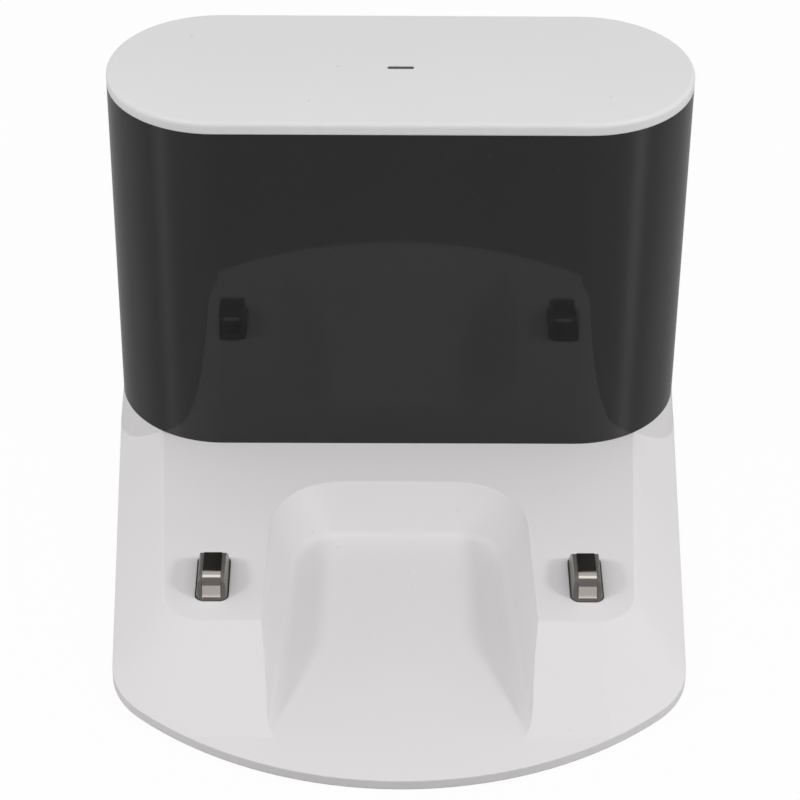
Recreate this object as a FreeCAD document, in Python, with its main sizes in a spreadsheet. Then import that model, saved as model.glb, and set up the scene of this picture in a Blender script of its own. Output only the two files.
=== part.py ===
"""Robot vacuum charging dock: a low base with a caster channel and a tower behind it.

Millimetres, +Z up. The dock stands on its rubber feet at z = 0, the front looks along -Y,
and the origin is the middle of its footprint.
"""
import FreeCAD, Part
import math
import os
from types import SimpleNamespace

import Sketcher
from FreeCAD import Vector

SIZES = {
    # Base moulding, in plan
    "base_width": 131.8,
    "base_depth": 151.0,
    "front_width": 122.6,
    "front_radius": 80.65,
    "front_corner_radius": 20.6,
    "rear_proud": 0.45,
    # Base moulding, in height
    "foot_height": 0.8,
    "lip_height": 2.2,
    "deck_height": 13.3,
    "skin": 2.2,
    # Deck and ramp
    "deck_front_width": 100.4,
    "deck_rear_width": 111.9,
    "deck_corner_radius": 9.0,
    "ramp_foot": 13.2,
    "ramp_top": 38.0,
    "deck_edge_bevel": 0.8,
    # Caster channel
    "channel_width": 57.0,
    "channel_mouth": 60.8,
    "channel_radius": 16.0,
    "channel_back": 14.5,
    "floor_width": 46.6,
    "floor_mouth": 57.0,
    "floor_radius": 10.8,
    "floor_back": 21.6,
    "floor_fillet": 3.0,
    # Underside
    "plate_thickness": 1.8,
    "plate_gap": 0.25,
    "plate_ledge": 1.4,
    "rib": 3.4,
    "pad_diameter": 12.0,
    "pad_thickness": 1.3,
    "pad_front_inset": 17.3,
    "pad_front_setback": 16.3,
    "pad_rear_inset": 21.9,
    "pad_rear_setback": 5.4,
    # Tower
    "tower_width": 129.5,
    "tower_depth": 49.0,
    "tower_height": 98.0,
    "tower_wall": 2.4,
    "seam_offset": 2.0,
    "cap_height": 2.7,
    "cap_round": 1.0,
    "cap_skirt": 3.0,
    "cap_skirt_wall": 1.6,
    "cap_gap": 0.15,
    # Indicator
    "slot_length": 5.9,
    "slot_width": 1.2,
    "pipe_gap": 0.05,
    "pipe_shoulder": 1.2,
    "pipe_arm": 1.8,
    # Cable bay and inlet
    "bay_width": 76.0,
    "bay_bottom": 22.0,
    "bay_top_gap": 11.3,
    "bay_depth": 23.0,
    "bay_wall": 2.0,
    "bay_radius": 7.0,
    "outlet_width": 8.0,
    "outlet_height": 6.0,
    "outlet_depth": 5.0,
    "inlet_x": 26.0,
    "inlet_z": 34.0,
    "inlet_width": 16.6,
    "inlet_height": 10.4,
    "inlet_depth": 14.0,
    "inlet_flange": 2.0,
    "inlet_flange_thickness": 1.2,
    "inlet_fit": 0.15,
    "socket_spread": 6.6,
    "socket_diameter": 8.0,
    "socket_depth": 12.0,
    "pin_spread": 8.6,
    "pin_diameter": 2.4,
    "pin_length": 9.5,
    "pin_tail": 3.0,
    # Boards
    "post_length": 4.4,
    "post_diameter": 6.0,
    "board_thickness": 1.6,
    "power_left": -36.0,
    "power_right": 14.0,
    "power_bottom": 22.0,
    "power_top": 58.0,
    "beacon_width": 70.0,
    "board_gap": 3.0,
    "beacon_top_gap": 9.3,
    "board_edge": 4.0,
    "beacon_led_diameter": 5.0,
    "beacon_led_length": 8.0,
    "beacon_led_pitch": 13.0,
    # Board parts
    "core_width": 20.0,
    "core_height": 17.0,
    "core_depth": 8.0,
    "core_leg": 6.0,
    "core_yoke": 3.4,
    "winding_depth": 13.0,
    "winding_gap": 0.2,
    "core_x": 0.0,
    "core_z": 40.0,
    "bulk_diameter": 10.0,
    "bulk_length": 16.0,
    "bulk_x": -32.0,
    "bulk_z": 49.0,
    "output_diameter": 8.0,
    "output_length": 12.0,
    "output_x": -20.0,
    "output_z": 30.0,
    "rectifier_side": 8.0,
    "rectifier_height": 3.2,
    "rectifier_x": -29.0,
    "rectifier_z": 36.0,
    "fuse_diameter": 4.8,
    "fuse_length": 11.0,
    "fuse_x": -8.0,
    "fuse_z": 53.0,
    "lead_diameter": 1.6,
    "link_pitch": 3.0,
    # Charging contacts
    "contact_inset": 9.9,
    "contact_setback": 6.9,
    "contact_length": 15.1,
    "contact_rise": 4.8,
    "contact_fall": 0.9,
    "contact_width": 6.8,
    "contact_top_width": 5.4,
    "contact_front_run": 2.7,
    "contact_back_run": 3.4,
    "contact_corner": 1.8,
    "contact_gap": 0.2,
    "flange_reach": 1.6,
    "flange_length": 8.0,
    "flange_thickness": 1.5,
    "strip_width": 3.9,
    "strip_thickness": 0.4,
    "strip_front_bend": 3.4,
    "strip_back_bend": 2.0,
    "strip_dive_bend": 0.8,
    "strip_dive": 1.0,
    "strip_tail": 1.8,
    "spring_diameter": 5.0,
    "spring_wire": 0.6,
    "spring_turns": 3.5,
    "spring_post": 3.2,
    "spring_post_height": 1.2,
    # Screws
    "screw_diameter": 2.5,
    "screw_head": 5.0,
    "screw_head_height": 1.0,
    "screw_clearance": 0.2,
    "boss_diameter": 6.0,
    "plate_screw_length": 7.0,
    "tower_screw_length": 10.0,
    "board_screw_length": 5.0,
}

doc = FreeCAD.newDocument("charging_dock")
sheet = doc.addObject("Spreadsheet::Sheet", "Sizes")
for row, (alias, number) in enumerate(SIZES.items(), start=1):
    sheet.set(f"A{row}", alias)
    sheet.set(f"B{row}", str(number))
    sheet.setAlias(f"B{row}", alias)
doc.recompute()


class Size:
    """A length together with the formula that it comes from."""

    def __init__(self, value, text):
        self.value = float(value)
        self.text = text

    def __add__(self, other):
        other = as_size(other)
        return Size(self.value + other.value, f"({self.text} + {other.text})")

    def __sub__(self, other):
        other = as_size(other)
        return Size(self.value - other.value, f"({self.text} - {other.text})")

    def __mul__(self, other):
        other = as_size(other)
        return Size(self.value * other.value, f"({self.text} * {other.text})")

    def __truediv__(self, other):
        other = as_size(other)
        return Size(self.value / other.value, f"({self.text} / {other.text})")

    def __neg__(self):
        return Size(-self.value, f"(-1 * {self.text})")

    def __radd__(self, other):
        return as_size(other) + self

    def __rsub__(self, other):
        return as_size(other) - self

    def __rmul__(self, other):
        return as_size(other) * self


def as_size(number):
    return number if isinstance(number, Size) else Size(number, f"{float(number):.6g}")


dim = SimpleNamespace(**{alias: Size(sheet.get(alias), f"Sizes.{alias}") for alias in SIZES})
zero = as_size(0)

# Levels and lines that several pieces share
front_y = -dim.base_depth / 2
rear_radius = dim.tower_depth / 2 + dim.rear_proud
tower_y = dim.base_depth / 2 - rear_radius
tower_radius = dim.tower_depth / 2
tower_straight = dim.tower_width / 2 - tower_radius
tower_front = tower_y - tower_radius
tower_rear = tower_y + tower_radius
lip_top = dim.foot_height + dim.lip_height
plate_top = dim.foot_height + dim.plate_thickness
deck_under = dim.deck_height - dim.skin
ramp_foot_y = front_y + dim.ramp_foot
ramp_top_y = front_y + dim.ramp_top
cap_bottom = dim.tower_height - dim.cap_height
seam_y = tower_y + dim.seam_offset
bay_top = cap_bottom - dim.bay_top_gap
bay_plate_rear = tower_rear - dim.bay_depth
bay_plate_front = bay_plate_rear - dim.bay_wall
board_back = bay_plate_front - dim.post_length
board_front = board_back - dim.board_thickness
beacon_bottom = dim.power_top + dim.board_gap
beacon_top = cap_bottom - dim.beacon_top_gap
beacon_led_z = (beacon_bottom + beacon_top) / 2
contact_x = dim.deck_front_width / 2 - dim.contact_inset
contact_front_y = ramp_top_y + dim.contact_setback
contact_back_y = contact_front_y + dim.contact_length
contact_mid_y = contact_front_y + dim.contact_length / 2
contact_top = dim.deck_height + dim.contact_rise
flange_top = deck_under - dim.contact_gap
flange_bottom = flange_top - dim.flange_thickness


# Helpers that draw held outlines in a sketch

def bind(thing, prop, size):
    thing.setExpression(prop, as_size(size).text)


def new_body(label):
    body = doc.addObject("PartDesign::Body", label)
    body.Label = label
    body.AllowCompound = True
    return body


def new_sketch(body, name, level=None, role="XY_Plane"):
    """A sketch on one of the body's own planes, moved along the plane's normal by level."""
    sketch = body.newObject("Sketcher::SketchObject", name)
    plane = next(item for item in body.Origin.OriginFeatures if item.Role == role)
    sketch.AttachmentSupport = [(plane, "")]
    sketch.MapMode = "FlatFace"
    if level is not None:
        bind(sketch, ".AttachmentOffset.Base.z", level)
    return sketch


def hold(sketch, edge, vertex, x=None, y=None):
    """Hold one point of an edge at its distances from the sketch's origin."""
    for size, kind, axis in ((x, "DistanceX", -2), (y, "DistanceY", -1)):
        if size is None:
            continue
        size = as_size(size)
        if abs(size.value) < 1e-9:
            sketch.addConstraint(Sketcher.Constraint("PointOnObject", edge, vertex, axis))
        elif size.value > 0:
            index = sketch.addConstraint(
                Sketcher.Constraint(kind, -1, 1, edge, vertex, size.value))
            bind(sketch, f"Constraints[{index}]", size)
        else:
            index = sketch.addConstraint(
                Sketcher.Constraint(kind, edge, vertex, -1, 1, -size.value))
            bind(sketch, f"Constraints[{index}]", -size)


def hold_radius(sketch, edge, radius):
    index = sketch.addConstraint(Sketcher.Constraint("Radius", edge, radius.value))
    bind(sketch, f"Constraints[{index}]", radius)


def equal(sketch, *edges):
    for other in edges[1:]:
        sketch.addConstraint(Sketcher.Constraint("Equal", edges[0], other))


def meet(sketch, first, second):
    """The end of one edge is the start of the next."""
    sketch.addConstraint(Sketcher.Constraint("Coincident", first, 2, second, 1))


def flow(sketch, first, second):
    """The end of one edge runs smoothly into the start of the next."""
    sketch.addConstraint(Sketcher.Constraint("Tangent", first, 2, second, 1))


def line(sketch, x0, y0, x1, y1):
    return sketch.addGeometry(Part.LineSegment(Vector(x0, y0, 0), Vector(x1, y1, 0)), False)


def arc(sketch, x, y, radius, start, end):
    circle_ = Part.Circle(Vector(x, y, 0), Vector(0, 0, 1), radius)
    return sketch.addGeometry(
        Part.ArcOfCircle(circle_, math.radians(start), math.radians(end)), False)


def polygon(sketch, corners):
    count = len(corners)
    corners = [(as_size(x), as_size(y)) for x, y in corners]
    edges = []
    for index, (x, y) in enumerate(corners):
        next_x, next_y = corners[(index + 1) % count]
        edges.append(line(sketch, x.value, y.value, next_x.value, next_y.value))
    for index, (x, y) in enumerate(corners):
        meet(sketch, edges[index], edges[(index + 1) % count])
        hold(sketch, edges[index], 1, x, y)


def rectangle(sketch, x0, x1, y0, y1):
    polygon(sketch, [(x0, y0), (x1, y0), (x1, y1), (x0, y1)])


def circle(sketch, x, y, diameter):
    x, y, radius = as_size(x), as_size(y), as_size(diameter) / 2
    edge = sketch.addGeometry(
        Part.Circle(Vector(x.value, y.value, 0), Vector(0, 0, 1), radius.value), False)
    hold(sketch, edge, 3, x, y)
    hold_radius(sketch, edge, radius)


def rounded_rectangle(sketch, x0, x1, y0, y1, radius):
    x0, x1, y0, y1 = [as_size(item) for item in (x0, x1, y0, y1)]
    left, right = x0 + radius, x1 - radius
    low, high = y0 + radius, y1 - radius
    r = radius.value
    bottom = line(sketch, left.value, y0.value, right.value, y0.value)
    corner_a = arc(sketch, right.value, low.value, r, 270, 360)
    side_a = line(sketch, x1.value, low.value, x1.value, high.value)
    corner_b = arc(sketch, right.value, high.value, r, 0, 90)
    top = line(sketch, right.value, y1.value, left.value, y1.value)
    corner_c = arc(sketch, left.value, high.value, r, 90, 180)
    side_b = line(sketch, x0.value, high.value, x0.value, low.value)
    corner_d = arc(sketch, left.value, low.value, r, 180, 270)
    loop = [bottom, corner_a, side_a, corner_b, top, corner_c, side_b, corner_d]
    for index, edge in enumerate(loop):
        flow(sketch, edge, loop[(index + 1) % len(loop)])
    hold(sketch, corner_a, 3, right, low)
    hold(sketch, corner_b, 3, right, high)
    hold(sketch, corner_c, 3, left, high)
    hold(sketch, corner_d, 3, left, low)
    hold_radius(sketch, corner_a, radius)
    equal(sketch, corner_a, corner_b, corner_c, corner_d)


def stadium(sketch, straight, radius, y):
    """Two half circles at x = -straight and +straight, joined by straight sides."""
    s, r, c = straight.value, radius.value, y.value
    rear = line(sketch, s, c + r, -s, c + r)
    left = arc(sketch, -s, c, r, 90, 270)
    front = line(sketch, -s, c - r, s, c - r)
    right = arc(sketch, s, c, r, 270, 450)
    loop = [rear, left, front, right]
    for index, edge in enumerate(loop):
        flow(sketch, edge, loop[(index + 1) % len(loop)])
    hold(sketch, left, 3, -straight, y)
    hold(sketch, right, 3, straight, y)
    hold_radius(sketch, left, radius)
    equal(sketch, left, right)


def stadium_end(sketch, straight, radius, y, cut, front):
    """The part of a stadium in front of, or behind, the line at y = cut."""
    s, r, c = straight.value, radius.value, y.value
    lift = math.degrees(math.asin((cut.value - c) / r))
    reach = s + r * math.cos(math.radians(lift))
    if front:
        wall = line(sketch, -s, c - r, s, c - r)
        right = arc(sketch, s, c, r, 270, 360 + lift)
        seam = line(sketch, reach, cut.value, -reach, cut.value)
        left = arc(sketch, -s, c, r, 180 - lift, 270)
        loop = [wall, right, seam, left]
    else:
        wall = line(sketch, s, c + r, -s, c + r)
        left = arc(sketch, -s, c, r, 90, 180 - lift)
        seam = line(sketch, -reach, cut.value, reach, cut.value)
        right = arc(sketch, s, c, r, lift, 90)
        loop = [wall, left, seam, right]
    flow(sketch, loop[0], loop[1])
    meet(sketch, loop[1], loop[2])
    meet(sketch, loop[2], loop[3])
    flow(sketch, loop[3], loop[0])
    hold(sketch, left, 3, -straight, y)
    hold(sketch, right, 3, straight, y)
    hold_radius(sketch, left, radius)
    equal(sketch, left, right)
    hold(sketch, seam, 1, y=cut)
    hold(sketch, seam, 2, y=cut)


# Helpers that make features from sketches

def pad(body, sketch, length, reverse=False, midplane=False):
    feature = body.newObject("PartDesign::Pad", "Pad_" + sketch.Name)
    feature.Profile = sketch
    bind(feature, "Length", length)
    feature.Reversed = reverse
    if midplane:
        feature.SideType = "Symmetric"
    body.Tip = feature
    return feature


def pocket(body, sketch, length, reverse=False, midplane=False):
    feature = body.newObject("PartDesign::Pocket", "Pocket_" + sketch.Name)
    feature.Profile = sketch
    bind(feature, "Length", length)
    feature.Reversed = reverse
    if midplane:
        feature.SideType = "Symmetric"
    body.Tip = feature
    return feature


def loft(body, kind, first, second):
    feature = body.newObject("PartDesign::" + kind, kind + "_" + first.Name)
    feature.Profile = first
    feature.Sections = [second]
    feature.Ruled = True
    body.Tip = feature
    return feature


def dress(body, kind, prop, size, wanted):
    """Round or bevel the edges of the body's tip that the test wanted picks."""
    doc.recompute()
    base = body.Tip
    names = [f"Edge{index}" for index, edge in enumerate(base.Shape.Edges, start=1) if wanted(edge)]
    feature = body.newObject("PartDesign::" + kind, kind + "_" + base.Name)
    feature.Base = (base, names)
    bind(feature, prop, size)
    body.Tip = feature
    return feature


def lies_at(edge, z, tolerance=0.01):
    return abs(edge.BoundBox.ZMin - z) < tolerance and abs(edge.BoundBox.ZMax - z) < tolerance


def mirrored(points):
    return [(sign * x, y) for sign in (-1, 1) for x, y in points]


# Base moulding: outline, wings with ramp and flanks, plinth, channel and hollow underside

def corner_geometry():
    """Where the side lines and the arcs of the base outline meet, as plain numbers."""
    rear_x = dim.base_width.value / 2 - rear_radius.value
    corner_x = dim.front_width.value / 2 - dim.front_corner_radius.value
    front_centre = front_y.value + dim.front_radius.value
    drop = math.sqrt((dim.front_radius.value - dim.front_corner_radius.value) ** 2 - corner_x ** 2)
    corner_y = front_centre - drop
    run, rise = rear_x - corner_x, tower_y.value - corner_y
    narrowing = dim.front_corner_radius.value - rear_radius.value
    side = math.degrees(math.asin(narrowing / math.hypot(run, rise)) - math.atan2(run, rise))
    turn = math.degrees(math.atan2(corner_y - front_centre, corner_x))
    return SimpleNamespace(rear_x=rear_x, corner_x=corner_x, corner_y=corner_y,
                           front_centre=front_centre, side=side, turn=turn)


def on_arc(x, y, radius, angle):
    return x + radius * math.cos(math.radians(angle)), y + radius * math.sin(math.radians(angle))


def hold_base_arcs(sketch, rear_arcs, corner_arcs, front_arcs):
    rear_x = dim.base_width / 2 - rear_radius
    corner_x = dim.front_width / 2 - dim.front_corner_radius
    for sign, edge in zip((-1, 1), rear_arcs):
        hold(sketch, edge, 3, sign * rear_x, tower_y)
    for sign, edge in zip((-1, 1), corner_arcs):
        hold(sketch, edge, 3, sign * corner_x)
    for edge in front_arcs:
        hold(sketch, edge, 3, zero, front_y + dim.front_radius)
    hold_radius(sketch, rear_arcs[0], rear_radius)
    hold_radius(sketch, corner_arcs[0], dim.front_corner_radius)
    hold_radius(sketch, front_arcs[0], dim.front_radius)
    equal(sketch, *rear_arcs)
    equal(sketch, *corner_arcs)
    equal(sketch, *front_arcs)


def draw_sides(sketch):
    """Rear arcs, side lines and front corner arcs, left and right, running smoothly on."""
    g = corner_geometry()
    rear_r, corner_r = rear_radius.value, dim.front_corner_radius.value
    top = on_arc(g.rear_x, tower_y.value, rear_r, g.side)
    low = on_arc(g.corner_x, g.corner_y, corner_r, g.side)
    left_rear = arc(sketch, -g.rear_x, tower_y.value, rear_r, 90, 180 - g.side)
    left_side = line(sketch, -top[0], top[1], -low[0], low[1])
    left_corner = arc(sketch, -g.corner_x, g.corner_y, corner_r, 180 - g.side, 180 - g.turn)
    right_corner = arc(sketch, g.corner_x, g.corner_y, corner_r, 360 + g.turn, 360 + g.side)
    right_side = line(sketch, low[0], low[1], top[0], top[1])
    right_rear = arc(sketch, g.rear_x, tower_y.value, rear_r, g.side, 90)
    flow(sketch, left_rear, left_side)
    flow(sketch, left_side, left_corner)
    flow(sketch, right_corner, right_side)
    flow(sketch, right_side, right_rear)
    return left_rear, left_side, left_corner, right_corner, right_side, right_rear


def draw_lip(sketch):
    """The whole outline of the base."""
    g = corner_geometry()
    back = tower_y.value + rear_radius.value
    left_rear, _, left_corner, right_corner, _, right_rear = draw_sides(sketch)
    rear = line(sketch, g.rear_x, back, -g.rear_x, back)
    front = arc(sketch, 0, g.front_centre, dim.front_radius.value, 180 - g.turn, 360 + g.turn)
    flow(sketch, rear, left_rear)
    flow(sketch, left_corner, front)
    flow(sketch, front, right_corner)
    flow(sketch, right_rear, rear)
    hold_base_arcs(sketch, (left_rear, right_rear), (left_corner, right_corner), (front,))


def draw_wing_foot(sketch):
    """The foot of the raised body: the base outline, cut straight at the foot of the ramp."""
    g = corner_geometry()
    front_r = dim.front_radius.value
    cut = math.degrees(math.asin((ramp_foot_y.value - g.front_centre) / front_r))
    cut_x = front_r * math.cos(math.radians(cut))
    left_rear, left_side, left_corner, right_corner, right_side, right_rear = draw_sides(sketch)
    top = on_arc(g.rear_x, tower_y.value, rear_radius.value, g.side)
    chord = line(sketch, top[0], top[1], -top[0], top[1])
    left_front = arc(sketch, 0, g.front_centre, front_r, 180 - g.turn, 180 - cut)
    ramp = line(sketch, -cut_x, ramp_foot_y.value, cut_x, ramp_foot_y.value)
    right_front = arc(sketch, 0, g.front_centre, front_r, 360 + cut, 360 + g.turn)
    sketch.toggleConstruction(left_rear)
    sketch.toggleConstruction(right_rear)
    meet(sketch, chord, left_side)
    meet(sketch, right_side, chord)
    flow(sketch, left_corner, left_front)
    meet(sketch, left_front, ramp)
    meet(sketch, ramp, right_front)
    flow(sketch, right_front, right_corner)
    hold(sketch, ramp, 1, y=ramp_foot_y)
    hold(sketch, ramp, 2, y=ramp_foot_y)
    hold(sketch, left_rear, 1, x=-rear_straight)
    hold(sketch, right_rear, 2, x=rear_straight)
    hold_base_arcs(sketch, (left_rear, right_rear), (left_corner, right_corner),
                   (left_front, right_front))


def draw_deck(sketch, grow):
    """The deck's outline, moved outwards by grow: a straight front and rounded corners."""
    radius = dim.deck_corner_radius + grow
    rear_half, front_half = dim.deck_rear_width / 2 + grow, dim.deck_front_width / 2 + grow
    front_line = ramp_top_y - grow
    r, rear_x, front_x, front_at = radius.value, rear_half.value, front_half.value, front_line.value
    lean = math.degrees(math.atan2(rear_x - front_x, tower_y.value - front_at))
    centre_y = front_at + r
    along = math.tan(math.radians(lean))
    centre_x = front_x + r * along - r / math.cos(math.radians(lean))
    low = on_arc(centre_x, centre_y, r, -lean)
    rear = line(sketch, rear_x, tower_y.value, -rear_x, tower_y.value)
    left_side = line(sketch, -rear_x, tower_y.value, -low[0], low[1])
    left_a = arc(sketch, -centre_x, centre_y, r, 180 + lean, 225)
    left_b = arc(sketch, -centre_x, centre_y, r, 225, 270)
    front = line(sketch, -centre_x, front_at, centre_x, front_at)
    right_b = arc(sketch, centre_x, centre_y, r, 270, 315)
    right_a = arc(sketch, centre_x, centre_y, r, 315, 360 - lean)
    right_side = line(sketch, low[0], low[1], rear_x, tower_y.value)
    loop = [rear, left_side, left_a, left_b, front, right_b, right_a, right_side]
    meet(sketch, rear, left_side)
    meet(sketch, right_side, rear)
    for first, second in zip(loop[1:-1], loop[2:]):
        flow(sketch, first, second)
    hold(sketch, rear, 1, rear_half, tower_y)
    hold(sketch, rear, 2, -rear_half, tower_y)
    hold(sketch, front, 1, y=front_line)
    hold(sketch, front, 2, y=front_line)
    hold_radius(sketch, left_a, radius)
    equal(sketch, left_a, left_b, right_a, right_b)
    for sign, side, split in ((-1, left_side, left_b), (1, right_side, right_b)):
        corner = sketch.addGeometry(Part.Point(Vector(sign * front_x, front_at, 0)), True)
        hold(sketch, corner, 1, sign * front_half, front_line)
        sketch.addConstraint(Sketcher.Constraint("PointOnObject", corner, 1, side))
        vertex = 1 if sign < 0 else 2
        reach = radius * math.sqrt(0.5)
        pair = (split, vertex, split, 3) if sign < 0 else (split, 3, split, vertex)
        index = sketch.addConstraint(Sketcher.Constraint("DistanceX", *pair, reach.value))
        bind(sketch, f"Constraints[{index}]", reach)


def draw_channel(sketch, width, mouth, radius, back):
    """A horseshoe, open past the front edge, that widens a little towards its mouth."""
    mouth_x, mouth_y = mouth / 2, front_y - dim.lip_height
    centre_x, centre_y = width / 2 - radius, back - radius
    r = radius.value
    run, drop = mouth_x.value - centre_x.value, mouth_y.value - centre_y.value
    lean = math.degrees(math.atan2(drop, run) + math.acos(r / math.hypot(run, drop)))
    touch = on_arc(centre_x.value, centre_y.value, r, lean)
    rear = line(sketch, centre_x.value, back.value, -centre_x.value, back.value)
    left = arc(sketch, -centre_x.value, centre_y.value, r, 90, 180 - lean)
    left_side = line(sketch, -touch[0], touch[1], -mouth_x.value, mouth_y.value)
    front = line(sketch, -mouth_x.value, mouth_y.value, mouth_x.value, mouth_y.value)
    right_side = line(sketch, mouth_x.value, mouth_y.value, touch[0], touch[1])
    right = arc(sketch, centre_x.value, centre_y.value, r, lean, 90)
    flow(sketch, rear, left)
    flow(sketch, left, left_side)
    meet(sketch, left_side, front)
    meet(sketch, front, right_side)
    flow(sketch, right_side, right)
    flow(sketch, right, rear)
    hold(sketch, front, 1, -mouth_x, mouth_y)
    hold(sketch, front, 2, mouth_x, mouth_y)
    hold(sketch, left, 3, -centre_x, centre_y)
    hold(sketch, right, 3, centre_x, centre_y)
    hold_radius(sketch, left, radius)
    equal(sketch, left, right)


def draw_horseshoe(sketch, straight, radius, corners):
    """A plan with a round rear and two legs beside the channel.

    The corners run down the right side from the tower to the channel's back.
    """
    s, r, c = straight.value, radius.value, tower_y.value
    rear = line(sketch, s, c + r, -s, c + r)
    left = arc(sketch, -s, c, r, 90, 180)
    right_path = [(straight + radius, tower_y)] + corners
    points = [(-x, y) for x, y in right_path] + right_path[::-1]
    legs = []
    for (x0, y0), (x1, y1) in zip(points[:-1], points[1:]):
        legs.append(line(sketch, x0.value, y0.value, x1.value, y1.value))
    right = arc(sketch, s, c, r, 0, 90)
    loop = [rear, left] + legs + [right]
    flow(sketch, rear, left)
    flow(sketch, right, rear)
    for first, second in zip(loop[1:-1], loop[2:]):
        meet(sketch, first, second)
    hold(sketch, left, 3, -straight, tower_y)
    hold(sketch, right, 3, straight, tower_y)
    hold_radius(sketch, left, radius)
    equal(sketch, left, right)
    hold(sketch, legs[0], 1, y=tower_y)
    hold(sketch, legs[-1], 2, y=tower_y)
    for leg, (x, y) in zip(legs[1:], points[1:-1]):
        hold(sketch, leg, 1, x, y)


rear_straight = dim.base_width / 2 - rear_radius
channel_back_y = tower_front - dim.channel_back
floor_back_y = tower_front - dim.floor_back


def underside(grow):
    """Corners of the hollow at the bottom plate, moved outwards by grow."""
    tongue_x = dim.floor_width / 2 + dim.rib - grow
    mouth_x = dim.floor_mouth / 2 + dim.rib / 2 - grow
    front = ramp_foot_y + dim.rib * 1.6 - grow
    return [
        (dim.base_width / 2 - dim.rib * 1.5 + grow, tower_front),
        (dim.front_width / 2 - dim.rib * 1.2 + grow, ramp_top_y),
        (dim.front_width / 2 - dim.front_corner_radius + dim.rib + grow / 2, front),
        (mouth_x, front),
        (tongue_x, floor_back_y - dim.rib),
        (dim.floor_width / 2 - dim.floor_radius / 2, floor_back_y + dim.rib - grow),
    ]


def under_deck():
    """Corners of the hollow just below the deck."""
    inner_x = dim.channel_width / 2 + dim.skin * 0.6
    front = ramp_top_y + dim.rib / 2
    return [
        (dim.deck_rear_width / 2 - dim.rib, tower_front),
        (dim.deck_front_width / 2 - dim.skin, ramp_top_y + dim.deck_corner_radius),
        (dim.deck_front_width / 2 - dim.deck_corner_radius, front),
        (inner_x, front),
        (inner_x, channel_back_y - dim.channel_radius / 3),
        (dim.channel_width / 2 - dim.channel_radius / 2, channel_back_y + dim.skin),
    ]


plate_screws_at = mirrored([
    (contact_x + dim.boss_diameter * 0.75, contact_back_y + dim.boss_diameter),
    (contact_x, tower_front - dim.boss_diameter),
    (rear_straight, tower_y + rear_radius - dim.rib - dim.boss_diameter),
])
boss_reach = (tower_radius - dim.skin - dim.screw_head / 2 - 2 * dim.screw_clearance) * math.sqrt(0.5)
tower_screws_at = [(sign * (tower_straight + boss_reach), tower_y + way * boss_reach)
                   for sign in (-1, 1) for way in (-1, 1)]
contacts_at = [-contact_x, contact_x]


def middle_of(edge):
    return edge.valueAt((edge.FirstParameter + edge.LastParameter) / 2)


def make_channel_form():
    """The space of the caster channel, with the round foot that its walls end in."""
    form = new_body("channel_form")
    top = new_sketch(form, "channel_top", dim.deck_height)
    draw_channel(top, dim.channel_width, dim.channel_mouth, dim.channel_radius, channel_back_y)
    floor = new_sketch(form, "channel_floor", lip_top)
    draw_channel(floor, dim.floor_width, dim.floor_mouth, dim.floor_radius, floor_back_y)
    loft(form, "AdditiveLoft", top, floor)

    def is_floor_edge(edge):
        return lies_at(edge, lip_top.value) and middle_of(edge).y > front_y.value

    dress(form, "Fillet", "Radius", dim.floor_fillet, is_floor_edge)
    return form


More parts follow.
